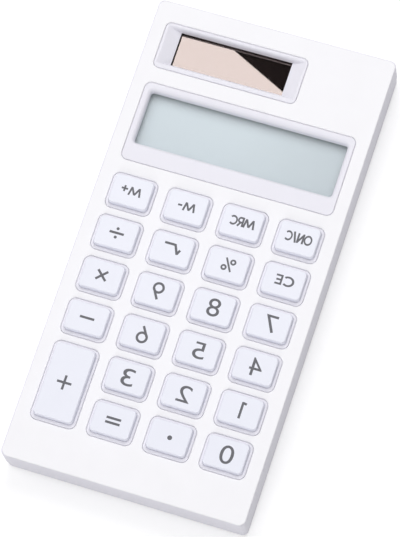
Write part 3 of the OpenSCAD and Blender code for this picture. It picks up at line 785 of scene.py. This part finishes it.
# Key legends
# Figures and signs printed on the keys in dark grey ink, a few hundredths of a millimetre thick.
# They read backwards, as the photograph shows the machine in a mirror.
ink_colour = (0.1, 0.1, 0.115, 1)
ink_depth = 0.02 * mm
legend_ink = satin("legend_ink", ink_colour, roughness=0.5, grain=5000, depth=0.002 * mm, spread=0.1)
print_shift = Vector((0.1, 0.36, 0)) * mm
print_stretch = 1.0065
word_stroke = 0.465 * mm
word_shift = 0.13 * mm
sign_stroke = 0.58 * mm
arc_step = 9

# Each glyph has its width and its strokes, in cap heights about the middle of the line. A stroke is
# (x, y, x, y) if straight, (x, y, radius, start angle, sweep) if round and (x, y, diameter) if a dot.
# Signs are drawn in mm, and words and figures have their width and height in mm.
letters = {
    "M": (1.3, [(0.06, -0.5, 0.25, 0.45), (0.25, 0.42, 0.65, -0.38), (0.65, -0.38, 1.05, 0.42),
                (1.05, 0.45, 1.24, -0.5)]),
    "R": (0.78, [(0.12, -0.5, 0.12, 0.5), (0.12, 0.42, 0.42, 0.42), (0.12, -0.06, 0.42, -0.06),
                 (0.42, 0.18, 0.24, -90, 180), (0.36, -0.06, 0.68, -0.5)]),
    "C": (0.92, [(0.5, 0, 0.42, 45, 270)]),
    "O": (1.0, [(0.5, 0, 0.42, 0, 360)]),
    "N": (0.88, [(0.12, -0.5, 0.12, 0.5), (0.12, 0.42, 0.74, -0.42), (0.74, -0.5, 0.74, 0.5)]),
    "E": (0.68, [(0.12, -0.5, 0.12, 0.5), (0.12, 0.41, 0.6, 0.41), (0.12, 0, 0.54, 0),
                 (0.12, -0.41, 0.6, -0.41)]),
    "/": (0.58, [(0.1, -0.54, 0.46, 0.54)]),
    "+": (0.9, [(0.15, 0.1, 0.83, 0.1), (0.49, -0.24, 0.49, 0.44)]),
    "-": (0.66, [(0.15, 0, 0.6, 0)]),
}
words = {
    "key_memory_add": ("M+", 5.15, 2.3),
    "key_memory_subtract": ("M-", 4.45, 2.3),
    "key_memory_recall": ("MRC", 6.2, 2.4),
    "key_on_clear": ("ON/C", 6.7, 2.5),
    "key_clear_entry": ("CE", 4.8, 2.55),
}
signs = {
    "key_divide": [(-1.8, 0, 1.8, 0), (0, 1.1, 0.75), (0, -1.1, 0.75)],
    "key_root": [(-1.93, 0.1, -1.35, -1.1), (-1.45, -1.15, -0.38, 1.3), (-0.53, 1.15, 2.2, 1.15)],
    "key_multiply": [(-1.25, -1.2, 1.25, 1.2), (-1.25, 1.2, 1.25, -1.2)],
    "key_subtract": [(-1.85, 0, 1.75, 0)],
    "key_add": [(-1.8, 0, 1.8, 0), (0, -1.8, 0, 1.8)],
    "key_equals": [(-1.85, 0.57, 1.75, 0.57), (-1.85, -0.57, 1.75, -0.57)],
    "key_point": [(0, 0, 1.15)],
    "key_1": [(0.15, -1.95, 0.15, 2.1), (0.25, 1.95, -0.75, 1.75)],
    "key_6": [(0, -0.82, 1.17, 0, 360), (-1.05, -0.4, 0.4, 1.98)],
    "key_9": [(0, 0.88, 1.15, 0, 360), (1.03, 0.45, -0.4, -1.98)],
}
figures = {
    "0": (3.3, 4.5),
    "2": (3.35, 4.12),
    "3": (3.1, 4.3),
    "4": (3.1, 4.45),
    "5": (3.0, 4.12),
    "7": (3.05, 4.3),
    "8": (3.1, 4.5),
}
percent = [(-0.95, 0.85, 0.52, 0, 360), (0.95, -0.85, 0.52, 0, 360), (-0.9, -1.65, 0.9, 1.65)]
percent_stroke = 0.44 * mm


def print_place(name):
    """Middle of the print on a key's top. The print spreads a little wider than the keys."""
    key_low, key_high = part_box(name)
    middle = (key_low + key_high) / 2 * print_stretch + print_shift
    return Vector((middle.x, middle.y, key_high.z))


def straight_stroke(start, end, width):
    """Flat straight stroke between two points."""
    run = end - start
    bpy.ops.object.select_all(action="DESELECT")
    bpy.ops.mesh.primitive_cube_add(
        size=1,
        location=(start + end) / 2,
        rotation=(0, 0, math.atan2(run.y, run.x)),
        scale=(run.length, width, ink_depth),
    )
    bpy.ops.object.transform_apply(location=True, rotation=True, scale=True)
    return bpy.context.object


def round_stroke(centre, radius, width, start, sweep, stretch):
    """Flat round stroke about a centre, from a start angle on through a sweep, in degrees."""
    if sweep == 360:
        stroke = drum("ring", Vector(), radius + width / 2, -ink_depth / 2, ink_depth / 2, turns=48)
        carve(stroke, [drum("hole", Vector(), radius - width / 2, -ink_depth, ink_depth, turns=48)])
        bpy.ops.object.mode_set(mode="EDIT")
    else:
        bpy.ops.object.select_all(action="DESELECT")
        bpy.ops.mesh.primitive_plane_add(size=1, location=(radius, 0, 0), rotation=(math.pi / 2, 0, 0))
        stroke = bpy.context.object
        stroke.scale = (width, ink_depth, 1)
        bpy.ops.object.transform_apply(location=True, rotation=True, scale=True)
        bpy.ops.object.mode_set(mode="EDIT")
        bpy.ops.mesh.select_all(action="SELECT")
        bpy.ops.transform.rotate(value=-math.radians(start), orient_axis="Z", center_override=(0, 0, 0))
        bpy.ops.mesh.spin(
            steps=round(sweep / arc_step), angle=-math.radians(sweep), center=(0, 0, 0), axis=(0, 0, 1)
        )
    bpy.ops.mesh.select_all(action="SELECT")
    bpy.ops.mesh.remove_doubles(threshold=merge_within)
    bpy.ops.transform.resize(value=(-stretch, 1, 1), center_override=(0, 0, 0))
    bpy.ops.transform.translate(value=centre)
    bpy.ops.mesh.normals_make_consistent(inside=False)
    close_edit(stroke)
    return stroke


def print_strokes(name, strokes, width):
    """Legend on a key's top, mirrored, from pairs of a round stroke's stretch and a stroke in metres."""
    middle = print_place(name)
    drawn = []
    for stretch, stroke in strokes:
        start = middle + Vector((-stroke[0], stroke[1], 0))
        if len(stroke) == 3:
            level = middle.z - ink_depth / 2
            drawn.append(drum("dot", start, stroke[2] / 2, level, level + ink_depth, turns=24))
        elif len(stroke) == 4:
            drawn.append(straight_stroke(start, middle + Vector((-stroke[2], stroke[3], 0)), width))
        else:
            drawn.append(round_stroke(start, stroke[2], width, stroke[3], stroke[4], stretch))
    legend = drawn[0]
    for stroke in drawn[1:]:
        carve(legend, [stroke], "UNION")
    legend.name = legend.data.name = f"{name}_legend"
    dress(legend, legend_ink, name, "key_plastic")


def sized(stroke, across, up, shift=0):
    """A glyph's stroke in metres, moved along the line, with its angles kept."""
    x, y = (stroke[0] + shift) * across, stroke[1] * up
    if len(stroke) == 4:
        return (x, y, (stroke[2] + shift) * across, stroke[3] * up)
    return (x, y, stroke[2] * up, *stroke[3:])


for name, (word, width, height) in words.items():
    advance = sum(letters[letter][0] for letter in word)
    across = width * mm / advance
    up = height * mm
    cursor = word_shift / across - advance / 2
    strokes = []
    for letter in word:
        strokes += [(across / up, sized(stroke, across, up, cursor)) for stroke in letters[letter][1]]
        cursor += letters[letter][0]
    print_strokes(name, strokes, word_stroke)
for name, strokes in signs.items():
    print_strokes(name, [(1, sized(stroke, mm, mm)) for stroke in strokes], sign_stroke)
print_strokes("key_percent", [(1, sized(stroke, mm, mm)) for stroke in percent], percent_stroke)


def print_figure(name, figure, width, height):
    """Figure of the plain built-in letters on a key's top, mirrored, of a size in mm."""
    bpy.ops.object.select_all(action="DESELECT")
    bpy.ops.object.text_add()
    bpy.context.object.data.body = figure
    bpy.context.object.data.extrude = 0.5
    bpy.ops.object.convert(target="MESH")
    print_mesh = bpy.context.object
    print_mesh.name = print_mesh.data.name = f"{name}_legend"
    points = [v.co for v in print_mesh.data.vertices]
    low = Vector([min(p[i] for p in points) for i in range(3)])
    high = Vector([max(p[i] for p in points) for i in range(3)])
    print_mesh.data.transform(
        Matrix.Translation(print_place(name))
        @ Matrix.Diagonal((-width * mm / (high.x - low.x), height * mm / (high.y - low.y), ink_depth, 1))
        @ Matrix.Translation(-(low + high) / 2)
    )
    bpy.ops.object.mode_set(mode="EDIT")
    bpy.ops.mesh.select_all(action="SELECT")
    bpy.ops.mesh.remove_doubles(threshold=merge_within)
    bpy.ops.mesh.normals_make_consistent(inside=False)
    close_edit(print_mesh)
    dress(print_mesh, legend_ink, name, "key_plastic")


for figure, (width, height) in figures.items():
    print_figure(f"key_{figure}", figure, width, height)

# Display
# Clear film and a clear glass plate over a second plate, whose back reflects pale grey-blue light and
# grows a little darker to one side. Along its near edge its colour is painted up to a tenth lighter, as
# painted light that lifts the shade the near wall of the opening casts there. The case's opening throws a
# soft shadow on it through the glass.
lcd_colour = (0.655, 0.738, 0.788, 1)
lcd_far_side = 0.88
# Painted light: the layer's colour is lifted by this much at its near edge, against the near wall's
# shade.
lcd_near_painted_light = 1.1
lcd_painted_light_width = 6 * mm
lcd_fall_start = -0.2
film_low, film_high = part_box("display_front_film")
film_edge = 0.04 * mm
film_corner = 0.6 * mm
display_tint = (0.8, 0.86, 0.88, 1)


def clear(name, colour, alpha, roughness):
    """Clear film or glass, which only tints a little what lies behind it."""
    finish = satin(name, colour, roughness, grain=2500, depth=0.0005 * mm, spread=0.01, gloss_spread=0.03)
    finish.node_tree.nodes["Principled BSDF"].inputs["Alpha"].default_value = alpha
    return finish


display_film = clear("display_film", display_tint, alpha=0.04, roughness=0.15)
film = block("display_film_sheet", film_low.copy(), film_high - Vector((0, 0, film_edge)), film_corner)
grow(film, faces_up, round_over(film_edge, turns=2))
polish(film)
dress(film, display_film, "case", "display_film", "display_front_film")


def smooth_fade(tree, along, start, end, first, last):
    """A level that goes smoothly from the first to the last between two places along an axis."""
    fade = add_node(tree, "MapRange", interpolation_type="SMOOTHSTEP")
    for socket, value in (("From Min", start), ("From Max", end), ("To Min", first), ("To Max", last)):
        fade.inputs[socket].default_value = value
    tree.links.new(along, fade.inputs["Value"])
    return fade.outputs["Result"]


display_glass = clear("display_glass", display_tint, alpha=0.03, roughness=0.08)
lcd_layer = satin("display_layer", lcd_colour, roughness=0.45, grain=1500, depth=0.001 * mm)
lcd_tree = lcd_layer.node_tree
lcd_shade = lcd_tree.nodes["Principled BSDF"].inputs["Base Color"]
lcd_place = add_node(lcd_tree, "TexCoord")
lcd_split = add_node(lcd_tree, "SeparateXYZ")
lcd_tree.links.new(lcd_place.outputs["Object"], lcd_split.inputs[0])
fall_from, painted_light_end = lcd_fall_start * view_high.x, view_low.y + lcd_painted_light_width
lcd_fall = smooth_fade(lcd_tree, lcd_split.outputs["X"], fall_from, view_high.x, 1, lcd_far_side)
# Painted light: lighter towards the near edge, lifting the shade cast by the near wall of the opening.
lcd_painted_light = smooth_fade(lcd_tree, lcd_split.outputs["Y"], view_low.y, painted_light_end, lcd_near_painted_light, 1)
lcd_fall_and_painted_light = add_node(lcd_tree, "Math", operation="MULTIPLY")
lcd_mix = add_node(lcd_tree, "Mix", data_type="RGBA", blend_type="MULTIPLY", Factor=1)
lcd_tree.links.new(lcd_fall, lcd_fall_and_painted_light.inputs[0])
lcd_tree.links.new(lcd_painted_light, lcd_fall_and_painted_light.inputs[1])
lcd_tree.links.new(lcd_shade.links[0].from_socket, lcd_mix.inputs["A"])
lcd_tree.links.new(lcd_fall_and_painted_light.outputs[0], lcd_mix.inputs["B"])
lcd_tree.links.new(lcd_mix.outputs["Result"], lcd_shade)


def coat_solid(node, finish):
    """Gives a finish to a CAD solid that stays in the scene."""
    materials = frame["nodes"][node].data.materials
    materials.clear()
    materials.append(finish)


coat_solid("display_front_glass", display_glass)
coat_solid("display_rear_glass", lcd_layer)

# Light cell
# A clear glass plate with a dark brown film on its back, as bright as a mirror. Foam holds it up
# under its window in the case.
cell_colour = (0.2, 0.17, 0.16, 1)
cell_tint = (0.9, 0.62, 0.6, 1)
cell_edge = 0.08 * mm
cell_corner = 0.3 * mm
cell_film = satin(
    "light_cell_film",
    cell_colour,
    roughness=0.01,
    grain=800,
    depth=0.00002 * mm,
    gloss_spread=0.003,
    Metallic=1.0,
)
cell_back = block("light_cell_film", *grown(cell_low, cell_high, 0, cell_low.z, cell_mirror), cell_corner)
polish(cell_back)
dress(cell_back, cell_film, "case", "light_cell_glass", "light_cell")
cell_glass = clear("light_cell_glass", cell_tint, alpha=0.007, roughness=0.05)
cell_plate = block(
    "light_cell_plate",
    Vector((cell_low.x, cell_low.y, cell_mirror + film_edge)),
    cell_high - Vector((0, 0, cell_edge)),
    cell_corner,
)
grow(cell_plate, faces_up, round_over(cell_edge, turns=2))
polish(cell_plate)
dress(cell_plate, cell_glass, "case", "light_cell_glass", "light_cell")

# Battery cover
# A small lid of the same white plastic. It hooks under the rear cover at one end, a screw holds the
# other, and a ring inside it keeps the button cell up. Grooves give the thumb a hold.
lid_edge = 0.2 * mm
ring_radius = 4.8 * mm
ring_bore_radius = 4 * mm
lid_hook = 0.1 * mm
hook_half = 1.5 * mm
hook_thick = 0.6 * mm
hook_post = (-1.8 * mm, -0.6 * mm)
hook_tab = (-1.2 * mm, 1.2 * mm)
groove_rows = range(2, 6)
groove_pitch = 1.2 * mm
groove_size = Vector((6, 0.5, 0.25)) * mm
countersink_radius = 1.5 * mm
sink_past = 0.01 * mm
lid_top = cover_low.z + cover_thick


def cone(name, place, low_radius, high_radius, low, high, turns=48):
    """Round post that narrows or widens between two levels."""
    bpy.ops.object.select_all(action="DESELECT")
    middle = Vector((place.x, place.y, (low + high) / 2))
    bpy.ops.mesh.primitive_cone_add(
        vertices=turns, radius1=low_radius, radius2=high_radius, depth=high - low, location=middle
    )
    bpy.ops.object.transform_apply(location=True, rotation=True, scale=True)
    piece = bpy.context.object
    piece.name = piece.data.name = name
    return piece


lid = block(
    "battery_lid",
    Vector((cover_low.x, cover_low.y, cover_low.z + lid_edge)),
    Vector((cover_high.x, cover_high.y - lid_hook, lid_top)),
    cover_corner,
)
grow(lid, faces_down, round_over(lid_edge))
ring = drum("ring", battery_middle, ring_radius, lid_top - lid_edge, cover_high.z, turns=48)
carve(ring, [drum("bore", battery_middle, ring_bore_radius, lid_top, cover_high.z + past, turns=48)])
carve(lid, [ring], "UNION")
hook_line = battery_middle + Vector((0, battery_hole_radius - fit, 0))
hook_low = rear_floor + seam_gap
hook_high = hook_low + hook_thick
for (near, far), foot in ((hook_post, lid_top - lid_edge), (hook_tab, hook_low)):
    hook = block(
        "hook",
        Vector((hook_line.x - hook_half, hook_line.y + near, foot)),
        Vector((hook_line.x + hook_half, hook_line.y + far, hook_high)),
        0,
    )
    carve(lid, [hook], "UNION")
grooves = []
for row in groove_rows:
    middle = Vector((cover_screw_place.x, cover_high.y - row * groove_pitch, cover_low.z))
    half = groove_size / 2
    grooves.append(block("groove", middle - half, middle + half, 0))
carve(lid, grooves)
sink_levels = (cover_low.z - sink_past, lid_top + sink_past)
carve(lid, [cone("sink", cover_screw_place, countersink_radius, cover_bore_radius, *sink_levels)])
polish(lid)
dress(lid, case_plastic, "case", "case_plastic", "battery_cover")

# Screws
# Small plated steel screws with a cross recess: four flat heads sunk in the rear cover, and one
# countersunk in the battery cover.
steel_colour = (0.62, 0.62, 0.64, 1)
head_height = 0.8 * mm
head_edge = 0.15 * mm
cross_size = Vector((1.9, 0.42, 0.45)) * mm
plated_steel = satin(
    "plated_steel", steel_colour, roughness=0.3, grain=4000, depth=0.003 * mm, spread=0.04, Metallic=1.0
)


def cross_recess(piece, place, face):
    """Cuts a cross for the screwdriver into a head's lower face."""
    for half in (cross_size / 2, Vector((cross_size.y, cross_size.x, cross_size.z)) / 2):
        low = Vector((place.x - half.x, place.y - half.y, face - past))
        high = Vector((place.x + half.x, place.y + half.y, face + cross_size.z))
        carve(piece, [block("cross", low, high, 0)])


head_low = case_screw_low.z + head_edge
head_high = case_screw_low.z + head_height
first_screw = drum("case_screw_1", screw_places[0], screw_head_radius, head_low, head_high)
grow(first_screw, faces_down, round_over(head_edge))
shank = drum("shank", screw_places[0], shank_radius, head_high - head_edge, case_screw_high.z)
carve(first_screw, [shank], "UNION")
cross_recess(first_screw, screw_places[0], case_screw_low.z)
polish(first_screw)
screws = [first_screw]
for number, place in enumerate(screw_places[1:], 2):
    screws.append(copy_to(first_screw, f"case_screw_{number}", place - screw_places[0]))
for screw in screws:
    dress(screw, plated_steel, "case", "plated_steel", "case_screws")

cover_screw_top = lid_top - lid_edge
cover_screw = cone(
    "cover_screw",
    cover_screw_place,
    countersink_radius - fit,
    cover_bore_radius - fit,
    cover_screw_low.z,
    cover_screw_top,
)
grow(cover_screw, faces_up, [(0, cover_screw_high.z - cover_screw_top)])
cross_recess(cover_screw, cover_screw_place, cover_screw_low.z)
polish(cover_screw)
dress(cover_screw, plated_steel, "case", "plated_steel", "battery_cover_screw")

# Keypad membrane
# One sheet of grey silicone rubber on the board, with a dome under each key that buckles when the
# key goes down and pushes it up again.
silicone_colour = (0.33, 0.34, 0.36, 1)
mat_low, mat_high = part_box("keypad_membrane")
mat_thick = 0.6 * mm
mat_corner = 1 * mm
dome_radius = 3.2 * mm
dome_neck = 2.1 * mm
dome_shoulder = 1.45 * mm
dome_edge = 0.15 * mm
silicone = satin(
    "membrane_rubber", silicone_colour, roughness=0.6, grain=3000, depth=0.004 * mm, spread=0.05
)
mat = block("membrane_sheet", *grown(mat_low, mat_high, 0, mat_low.z, mat_low.z + mat_thick), mat_corner)
polish(mat)
dress(mat, silicone, "case", "membrane_rubber", "keypad_membrane")
dome_places = {}
for name in key_names:
    low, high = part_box(name)
    dome_places[name] = Vector(((low.x + high.x) / 2, (low.y + high.y) / 2, 0))
first_name = key_names[0]
first_place = dome_places[first_name]
dome_low = mat_low.z + mat_thick - fit
first_dome = cone(
    f"{first_name}_dome", first_place, dome_radius, dome_neck, dome_low, mat_low.z + dome_shoulder
)
dome_rise = mat_high.z - mat_low.z - dome_shoulder - dome_edge
grow(first_dome, faces_up, [(0, dome_rise)] + round_over(dome_edge))
polish(first_dome)
domes = {first_name: first_dome}
for name in key_names[1:]:
    domes[name] = copy_to(first_dome, f"{name}_dome", dome_places[name] - first_place)
for name, dome in domes.items():
    dress(dome, silicone, "case", "membrane_rubber", "keypad_membrane")
    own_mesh(dome)

# Foam pads
# Strips of black closed-cell foam, cut from sheet, with soft edges.
# They press the display and the light cell up against the case.
foam_colour = (0.045, 0.045, 0.047, 1)
foam_edge = 0.25 * mm
foam_corner = 0.6 * mm
foam = satin("foam", foam_colour, roughness=0.9, grain=900, depth=0.05 * mm, spread=0.2)
for node in ("display_pad", "light_cell_pad"):
    low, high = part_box(node)
    rim = Vector((0, 0, foam_edge))
    pad = block(f"{node}_foam", low + rim, high - rim, foam_corner)
    grow(pad, faces_up, round_over(foam_edge))
    grow(pad, faces_down, round_over(foam_edge))
    polish(pad)
    dress(pad, foam, "case", "foam", node)

# Inside
# The board and what is soldered to it or rests on it keep their plain solids, in the colours of
# their materials: green lacquer, carbon ink, resin, ceramic, rubber, tin and plated steel.
inside = {
    "circuit_board": ((0.05, 0.18, 0.08, 1), 0.35, 0),
    "key_contacts": ((0.02, 0.02, 0.02, 1), 0.6, 0),
    "controller_blob": ((0.01, 0.01, 0.012, 1), 0.25, 0),
    "capacitors": ((0.5, 0.35, 0.18, 1), 0.5, 0),
    "resistors": ((0.02, 0.02, 0.022, 1), 0.4, 0),
    "diode": ((0.02, 0.02, 0.022, 1), 0.35, 0),
    "display_rear_film": ((0.6, 0.62, 0.62, 1), 0.3, 0),
    "display_connector": ((0.7, 0.45, 0.45, 1), 0.7, 0),
    "light_cell_leads": ((0.6, 0.6, 0.6, 1), 0.35, 1),
    "button_cell": (steel_colour, 0.25, 1),
    "battery_contact_plus": (steel_colour, 0.3, 1),
    "battery_contact_minus": (steel_colour, 0.3, 1),
    "board_screws": (steel_colour, 0.3, 1),
}
for node, (colour, roughness, metal) in inside.items():
    finish = satin(
        node, colour, roughness, grain=3000, depth=0.002 * mm, spread=0.05, Metallic=float(metal)
    )
    coat_solid(node, finish)
